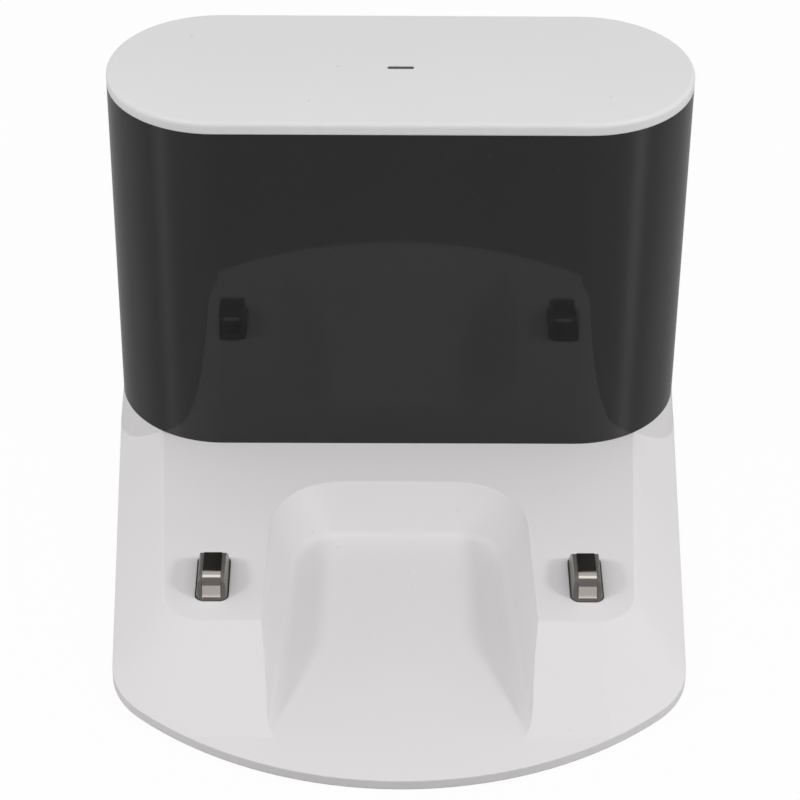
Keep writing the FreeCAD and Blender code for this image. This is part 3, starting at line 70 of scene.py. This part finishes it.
def reckon(tree, operation, *values):
    """What a Math node makes of these values."""
    return add_node(tree, "Math", dict(enumerate(values)), operation=operation).outputs["Value"]


def fade(tree, value, start, end, before=0.0, after=1.0):
    """What goes evenly from before to after while the value goes from start to end."""
    return add_node(tree, "MapRange", {"Value": value, "From Min": start, "From Max": end,
                                       "To Min": before, "To Max": after}).outputs["Result"]


def moulded_grain_group():
    """Colour, roughness and height of a moulded skin, each a little uneven. Scales are per metre."""
    flow_scale, polish_swing = 38.0, 0.12
    speck_scale, speck_core, speck_rim = 120.0, 0.03, 0.06
    speck_tone = (0.30, 0.29, 0.28, 1.0)
    group = bpy.data.node_groups.new("moulded_grain", "ShaderNodeTree")
    for name, kind in [("Grain Size", "Float"), ("Tone", "Color"), ("Tone Spread", "Float"),
                       ("Polish", "Float"), ("Specks", "Float")]:
        group.interface.new_socket(name, in_out="INPUT", socket_type="NodeSocket" + kind)
    for name, kind in [("Colour", "Color"), ("Roughness", "Float"), ("Height", "Float")]:
        group.interface.new_socket(name, in_out="OUTPUT", socket_type="NodeSocket" + kind)
    given = group.nodes.new("NodeGroupInput").outputs
    result = group.nodes.new("NodeGroupOutput").inputs
    place = add_node(group, "TexCoord").outputs["Object"]

    grain = add_node(group, "TexNoise", {"Vector": place, "Scale": given["Grain Size"], "Detail": 3.0})
    group.links.new(grain.outputs["Fac"], result["Height"])

    flow = add_node(group, "TexNoise", {"Vector": place, "Scale": flow_scale, "Detail": 4.0})
    swing = reckon(group, "SUBTRACT", flow.outputs["Fac"], 0.5)
    polish = reckon(group, "MULTIPLY_ADD", swing, polish_swing, given["Polish"])
    group.links.new(polish, result["Roughness"])

    spread = reckon(group, "MULTIPLY_ADD", swing, given["Tone Spread"], 1.0)
    tone = add_node(group, "VectorMath", {0: given["Tone"], "Scale": spread}, operation="SCALE")
    dots = add_node(group, "TexVoronoi", {"Vector": place, "Scale": speck_scale})
    speck = fade(group, dots.outputs["Distance"], start=speck_core, end=speck_rim, before=1.0, after=0.0)
    dust = reckon(group, "MULTIPLY", speck, given["Specks"])
    colour = add_node(group, "Mix", {"Factor": dust, "A": tone.outputs["Vector"], "B": speck_tone},
                      data_type="RGBA")
    group.links.new(colour.outputs["Result"], result["Colour"])
    return group


moulded_grain = moulded_grain_group()
grain_depth = 0.00004


def moulded_plastic(name, tone, polish, grain_size, tone_spread, bump_strength, edge_round, specks=0.0):
    """A moulding: tone, roughness, grain per metre, unevenness, edge radius in metres and dark specks."""
    material = bpy.data.materials.new(name)
    material.use_nodes = True
    tree = material.node_tree
    shader = tree.nodes["Principled BSDF"]
    skin = add_node(tree, "Group", {"Grain Size": grain_size, "Tone": (*tone, 1.0), "Polish": polish,
                                    "Tone Spread": tone_spread, "Specks": specks}, node_tree=moulded_grain)
    edges = add_node(tree, "Bevel", {"Radius": edge_round}, samples=8)
    bump = add_node(tree, "Bump", {"Strength": bump_strength, "Distance": grain_depth,
                                   "Height": skin.outputs["Height"], "Normal": edges.outputs["Normal"]})
    tree.links.new(skin.outputs["Colour"], shader.inputs["Base Color"])
    tree.links.new(skin.outputs["Roughness"], shader.inputs["Roughness"])
    tree.links.new(bump.outputs["Normal"], shader.inputs["Normal"])
    return material


def give_material(material, *names):
    """The named CAD nodes take this material."""
    for name in names:
        slots = nodes[name].data.materials
        slots.clear()
        slots.append(material)


base_plastic = moulded_plastic("base_plastic", tone=(0.79, 0.77, 0.777), polish=0.48, grain_size=5200.0,
                               tone_spread=0.02, bump_strength=0.10, edge_round=0.0004, specks=0.12)
give_material(base_plastic, "base_shell", "bottom_plate")
cap_plastic = moulded_plastic("cap_plastic", tone=(0.78, 0.78, 0.78), polish=0.48, grain_size=5200.0,
                              tone_spread=0.02, bump_strength=0.10, edge_round=0.0004, specks=0.25)
give_material(cap_plastic, "rear_housing", "top_cap")


# Contact carriers: smooth dark grey blocks that slide in the deck and hold the strips.
# Moulded in acetal, which runs dry in its slot, with a flange that stops them under the deck.
carrier_plastic = moulded_plastic("carrier_plastic", tone=(0.13, 0.12, 0.11), polish=0.22,
                                  grain_size=4000.0, tone_spread=0.06, bump_strength=0.05,
                                  edge_round=0.0006)
give_material(carrier_plastic, "contact_carrier_left", "contact_carrier_right")


# Contact strips: the charging contacts, bright, with fine wipe marks along their length.
# Stamped phosphor bronze, bent over the carrier, nickel plated and pressed into its groove.
def plated_metal(name, tone, polish, marks_along):
    """A plated metal: tone, roughness, and how many fine marks it has per metre along each axis."""
    rubbed_share, worn_share, dull_share = 0.6, 1.5, 0.88
    material = bpy.data.materials.new(name)
    material.use_nodes = True
    tree = material.node_tree
    shader = tree.nodes["Principled BSDF"]
    shader.inputs["Metallic"].default_value = 1.0
    place = add_node(tree, "TexCoord").outputs["Object"]
    stretch = add_node(tree, "Mapping", {"Vector": place, "Scale": marks_along})
    marks = add_node(tree, "TexNoise", {"Vector": stretch.outputs["Vector"], "Scale": 1.0, "Detail": 5.0})
    wear = fade(tree, marks.outputs["Fac"], start=0.0, end=1.0,
                before=polish * rubbed_share, after=polish * worn_share)
    shade = add_node(tree, "Mix", {"Factor": marks.outputs["Fac"], "B": (*tone, 1.0),
                                   "A": (*[dull_share * part for part in tone], 1.0)}, data_type="RGBA")
    tree.links.new(wear, shader.inputs["Roughness"])
    tree.links.new(shade.outputs["Result"], shader.inputs["Base Color"])
    return material


contact_metal = plated_metal("contact_metal", tone=(0.90, 0.83, 0.77), polish=0.08,
                             marks_along=(9000.0, 400.0, 400.0))
give_material(contact_metal, "contact_strip_left", "contact_strip_right")


# Contact springs: a coil under each carrier; in the dock it shortens as the contact goes down.
# Drawn spring wire, wound cold and set over a post of the bottom plate. The coils made here
# stand for the solids, which are hidden; both keep their full length at every pose.
spring_wire = 0.0006
spring_turns = 3.5
turn_steps = 24
wire_sides = 10
quarter_turn = math.radians(90.0)
spring_steel = plated_metal("spring_steel", tone=(0.60, 0.60, 0.61), polish=0.28,
                            marks_along=(2500.0, 2500.0, 2500.0))

low, high = (Vector(corner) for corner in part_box("contact_spring_left"))
coil_radius = (high.x - low.x - spring_wire) / 2.0
bpy.ops.mesh.primitive_circle_add(vertices=wire_sides, radius=spring_wire / 2.0,
                                  location=(coil_radius, 0.0, 0.0),
                                  rotation=(quarter_turn, quarter_turn, 0.0))
left_coil = bpy.context.active_object
bpy.ops.object.transform_apply(location=True, rotation=True, scale=True)
winding = left_coil.modifiers.new("winding", "SCREW")
winding.axis = "Z"
winding.angle = 2.0 * math.pi * spring_turns
winding.screw_offset = high.z - low.z - spring_wire
winding.steps = round(turn_steps * spring_turns)
winding.render_steps = winding.steps
winding.use_smooth_shade = True
bpy.ops.object.modifier_apply(modifier="winding")
bpy.ops.object.mode_set(mode="EDIT")
bpy.ops.mesh.select_all(action="SELECT")
bpy.ops.mesh.fill_holes(sides=wire_sides)
bpy.ops.mesh.normals_make_consistent(inside=False)
bpy.ops.object.mode_set(mode="OBJECT")
left_coil.data.materials.append(spring_steel)
right_coil = left_coil.copy()
right_coil.data = left_coil.data.copy()
bpy.context.collection.objects.link(right_coil)

for side, coil in [("left", left_coil), ("right", right_coil)]:
    node, joint = "contact_spring_" + side, "contact_" + side + "_press"
    low, high = (Vector(corner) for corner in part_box(node))
    middle, tall = (low + high) / 2.0, high.z - low.z
    coil.name = "spring_coil_" + side
    coil.location = (middle.x, middle.y, low.z + spring_wire / 2.0)
    bpy.ops.object.select_all(action="DESELECT")
    coil.select_set(True)
    bpy.context.view_layer.objects.active = coil
    bpy.ops.object.transform_apply(location=True, rotation=True, scale=True)
    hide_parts(node)
    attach(coil, "dock")
    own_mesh(coil)


# Boards with their parts, behind the window: glass-fibre boards under a green solder mask,
# a taped transformer on a ferrite core, sleeved capacitors, a ceramic fuse and LED lenses.
# The parts are soldered on, and the boards are screwed to bosses of the rear housing.
board_mask = moulded_plastic("board_mask", tone=(0.012, 0.11, 0.045), polish=0.30, grain_size=1500.0,
                             tone_spread=0.20, bump_strength=0.05, edge_round=0.0001)
give_material(board_mask, "power_board", "beacon_board")
ferrite = moulded_plastic("ferrite", tone=(0.03, 0.03, 0.032), polish=0.60, grain_size=3000.0,
                          tone_spread=0.20, bump_strength=0.25, edge_round=0.0003)
give_material(ferrite, "transformer_core")
winding_tape = moulded_plastic("winding_tape", tone=(0.62, 0.42, 0.04), polish=0.35, grain_size=900.0,
                               tone_spread=0.12, bump_strength=0.10, edge_round=0.0002)
give_material(winding_tape, "transformer_winding")
can_sleeve = moulded_plastic("can_sleeve", tone=(0.012, 0.02, 0.10), polish=0.28, grain_size=900.0,
                             tone_spread=0.12, bump_strength=0.05, edge_round=0.0002)
give_material(can_sleeve, "bulk_capacitor", "output_capacitor")
chip_case = moulded_plastic("chip_case", tone=(0.02, 0.02, 0.02), polish=0.55, grain_size=3200.0,
                            tone_spread=0.12, bump_strength=0.20, edge_round=0.0002)
give_material(chip_case, "rectifier")
fuse_ceramic = moulded_plastic("fuse_ceramic", tone=(0.66, 0.63, 0.56), polish=0.40, grain_size=2200.0,
                               tone_spread=0.06, bump_strength=0.10, edge_round=0.0002)
give_material(fuse_ceramic, "fuse")
beacon_lens = moulded_plastic("beacon_lens", tone=(0.05, 0.015, 0.04), polish=0.12, grain_size=1200.0,
                              tone_spread=0.05, bump_strength=0.0, edge_round=0.0002)
give_material(beacon_lens, "beacon_leds")
indicator_case = moulded_plastic("indicator_case", tone=(0.72, 0.72, 0.70), polish=0.40,
                                 grain_size=2200.0, tone_spread=0.04, bump_strength=0.05,
                                 edge_round=0.0001)
give_material(indicator_case, "indicator_led")


# Mains inlet in the cable bay: a black socket for a figure-8 plug, with two pins.
# Moulded nylon, pushed through the bay's wall up to its flange; the plated brass pins are pressed in.
inlet_plastic = moulded_plastic("inlet_plastic", tone=(0.016, 0.016, 0.017), polish=0.45,
                                grain_size=3600.0, tone_spread=0.10, bump_strength=0.15,
                                edge_round=0.0004)
give_material(inlet_plastic, "mains_inlet")
pin_metal = plated_metal("pin_metal", tone=(0.80, 0.74, 0.62), polish=0.20,
                         marks_along=(1500.0, 300.0, 1500.0))
give_material(pin_metal, "inlet_pins")


# Leads: from the inlet to the power board, between the boards, and on to the contacts.
# Stranded copper in soft red insulation, soldered at their ends.
lead_sleeve = moulded_plastic("lead_sleeve", tone=(0.30, 0.015, 0.015), polish=0.42, grain_size=1800.0,
                              tone_spread=0.08, bump_strength=0.08, edge_round=0.0001)
give_material(lead_sleeve, "inlet_leads", "link_leads", "contact_lead_left", "contact_lead_right")


# Front window: a polished black wall that only infrared light passes, round the tower's front.
# Moulded in dark polycarbonate and screwed down to the base, with a seam to the rear housing.
# Its skin mirrors, and fine wipe marks round the tower draw each lamp out into an upright streak.
window_plastic = moulded_plastic("window_plastic", tone=(0.005, 0.005, 0.0051), polish=0.45,
                                 grain_size=900.0, tone_spread=0.10, bump_strength=0.0,
                                 edge_round=0.0004, specks=0.02)
tree = window_plastic.node_tree
shader = tree.nodes["Principled BSDF"]
shader.inputs["Coat Weight"].default_value = 0.80
shader.inputs["Coat Roughness"].default_value = 0.04
shader.inputs["Specular IOR Level"].default_value = 0.33
shader.inputs["Anisotropic"].default_value = 1.0
shader.inputs["Anisotropic Rotation"].default_value = 0.25
wiped = add_node(tree, "Tangent", direction_type="RADIAL", axis="Z")
tree.links.new(wiped.outputs["Tangent"], shader.inputs["Tangent"])
give_material(window_plastic, "front_window")


# Light pipe: a smoked clear lens in the cap's slot, with an arm down to the indicator's LED.
# One small moulding in tinted acrylic, pushed into the slot from below up to its shoulder.
pipe_plastic = moulded_plastic("light_pipe", tone=(0.075, 0.075, 0.068), polish=0.25, grain_size=2000.0,
                               tone_spread=0.05, bump_strength=0.05, edge_round=0.0002)
give_material(pipe_plastic, "light_pipe")


# Screws: what holds the plate, the tower and the boards.
# Cold-headed steel with a zinc plating, driven into bosses of the mouldings.
screw_steel = plated_metal("screw_steel", tone=(0.62, 0.62, 0.63), polish=0.30,
                           marks_along=(1800.0, 1800.0, 1800.0))
give_material(screw_steel, "plate_screws", "tower_screws", "board_screws")


# Rubber feet: dark discs under the base that keep it from sliding on the floor.
# Moulded thermoplastic rubber, pressed into round recesses of the bottom plate.
foot_rubber = moulded_plastic("foot_rubber", tone=(0.035, 0.035, 0.036), polish=0.78, grain_size=2600.0,
                              tone_spread=0.15, bump_strength=0.35, edge_round=0.0003)
give_material(foot_rubber, "rubber_feet")


# Floor: a plain pale sheet of paper that the dock stands on.
# To the camera it is white with a faint shadow. Mirrors and lenses see a little of that white,
# over a greyer paper, so that the window stays as dark as it is in the photograph.
floor_size = 6.0
floor_drop = 0.0002
camera_white = 0.97
mirror_white = 0.05
paper_tone = (0.64, 0.64, 0.64, 1.0)
mirrored_tone = (0.40, 0.40, 0.40, 1.0)
white = (1.0, 1.0, 1.0, 1.0)


def mirrored_rays(tree):
    """1 for a ray that comes by way of a mirror or a lens, and 0 for any other."""
    rays = add_node(tree, "LightPath").outputs
    return reckon(tree, "MAXIMUM", rays["Is Glossy Ray"], rays["Is Transmission Ray"])


def white_share(tree, camera_share):
    """How much of plain white a ray sees: the camera's share, and a little in mirrors and lenses."""
    faint = reckon(tree, "MULTIPLY", mirrored_rays(tree), mirror_white)
    seen = add_node(tree, "LightPath").outputs["Is Camera Ray"]
    return reckon(tree, "MULTIPLY_ADD", seen, camera_share, faint)


bpy.ops.mesh.primitive_plane_add(size=floor_size, location=(0.0, 0.0, -floor_drop))
floor = bpy.context.active_object
floor.name = "studio_floor"
floor_paper = bpy.data.materials.new("studio_floor")
floor_paper.use_nodes = True
tree = floor_paper.node_tree
shader = tree.nodes["Principled BSDF"]
shader.inputs["Roughness"].default_value = 1.0
shader.inputs["Specular IOR Level"].default_value = 0.0
paper = add_node(tree, "Mix", {"Factor": mirrored_rays(tree), "A": paper_tone, "B": mirrored_tone},
                 data_type="RGBA")
tree.links.new(paper.outputs["Result"], shader.inputs["Base Color"])
glow = add_node(tree, "Emission", {"Color": white})
mixed = add_node(tree, "MixShader", {"Fac": white_share(tree, camera_white), 1: shader.outputs["BSDF"],
                                     2: glow.outputs["Emission"]})
tree.links.new(mixed.outputs["Shader"], tree.nodes["Material Output"].inputs["Surface"])
floor.data.materials.append(floor_paper)


# Studio light: on each side a small bare lamp, which draws the shadows, and a large softbox above it.
# The room fills in from overhead and from the sides. It is dark in front, where the camera stands,
# and dimmer behind, where the tower would keep its light off the deck.
lit_spot = Vector((0.0, 0.0, 0.04))
lamp_distance = 0.75


def add_lamp(name, azimuth, elevation, size, power):
    """A round lamp that looks at the dock, at angles in degrees from straight in front and level."""
    around, above = math.radians(azimuth), math.radians(elevation)
    way = Vector((math.sin(around) * math.cos(above), -math.cos(around) * math.cos(above), math.sin(above)))
    lamp = bpy.data.lights.new(name, "AREA")
    lamp.shape = "DISK"
    lamp.size = size
    lamp.energy = power
    holder = bpy.data.objects.new(name, lamp)
    holder.location = lit_spot + lamp_distance * way
    holder.rotation_euler = (-way).to_track_quat("-Z", "Y").to_euler()
    bpy.context.collection.objects.link(holder)


add_lamp("lamp_left", azimuth=-67.0, elevation=35.0, size=0.12, power=1.05)
add_lamp("lamp_right", azimuth=66.0, elevation=32.0, size=0.13, power=1.40)
add_lamp("softbox_left", azimuth=-52.0, elevation=56.0, size=0.40, power=1.15)
add_lamp("softbox_right", azimuth=52.0, elevation=56.0, size=0.40, power=1.10)

world = bpy.data.worlds.new("studio_room")
world.use_nodes = True
bpy.context.scene.world = world
tree = world.node_tree
room = tree.nodes["Background"]
room.inputs["Color"].default_value = white
way = add_node(tree, "TexCoord").outputs["Generated"]
axes = add_node(tree, "SeparateXYZ", {"Vector": way}).outputs

# The ceiling's level from straight behind, 0, over the top, 0.5, to straight in front, 1.
low_rear, rear, overhead, front, low_front = 0.30, 0.42, 0.92, 0.10, 0.55
forward = fade(tree, axes["Y"], start=1.0, end=-1.0)
ceiling = add_node(tree, "ValToRGB", {"Fac": forward})
stops = ceiling.color_ramp.elements
stops[0].position = 0.19
stops[0].color = (low_rear, low_rear, low_rear, 1.0)
stops[1].position = 0.98
stops[1].color = (low_front, low_front, low_front, 1.0)
for place, level in [(0.25, rear), (0.42, rear), (0.47, overhead), (0.585, overhead),
                     (0.63, front), (0.95, front)]:
    stops.new(place).color = (level, level, level, 1.0)

# The walls' level, which falls off towards the front and high up.
walls = fade(tree, forward, start=0.56, end=0.66, before=1.10, after=0.15)
height = fade(tree, axes["Z"], start=0.50, end=0.62, before=1.0, after=0.25)
beside = reckon(tree, "MULTIPLY", walls, height)
flank = fade(tree, reckon(tree, "ABSOLUTE", axes["X"]), start=0.26, end=0.40)
fill = add_node(tree, "Mix", {"Factor": flank, "A": ceiling.outputs["Color"], "B": beside})
seen = add_node(tree, "Mix", {"Factor": white_share(tree, camera_share=1.0), "A": fill.outputs["Result"],
                              "B": 1.0})
tree.links.new(seen.outputs["Result"], room.inputs["Strength"])


# Camera: in front and above, with a long lens, as the photograph was taken.
# It leans a little to one side, as the photograph's level does.
aim = Vector((0.0, 0.0, 0.04437))
camera_distance = 0.62925
yaw, lift, roll = math.radians(-0.6), math.radians(35.8), math.radians(0.55)
back = Vector((math.sin(yaw) * math.cos(lift), -math.cos(yaw) * math.cos(lift), math.sin(lift)))
lens = bpy.data.cameras.new("camera")
lens.sensor_width = 36.0
lens.lens = 130.8
camera = bpy.data.objects.new("camera", lens)
camera.location = aim + camera_distance * back
camera.rotation_euler = ((-back).to_track_quat("-Z", "Y") @ Quaternion((0.0, 0.0, 1.0), roll)).to_euler()
bpy.context.collection.objects.link(camera)
bpy.context.scene.camera = camera
bpy.context.scene.view_settings.view_transform = "Standard"
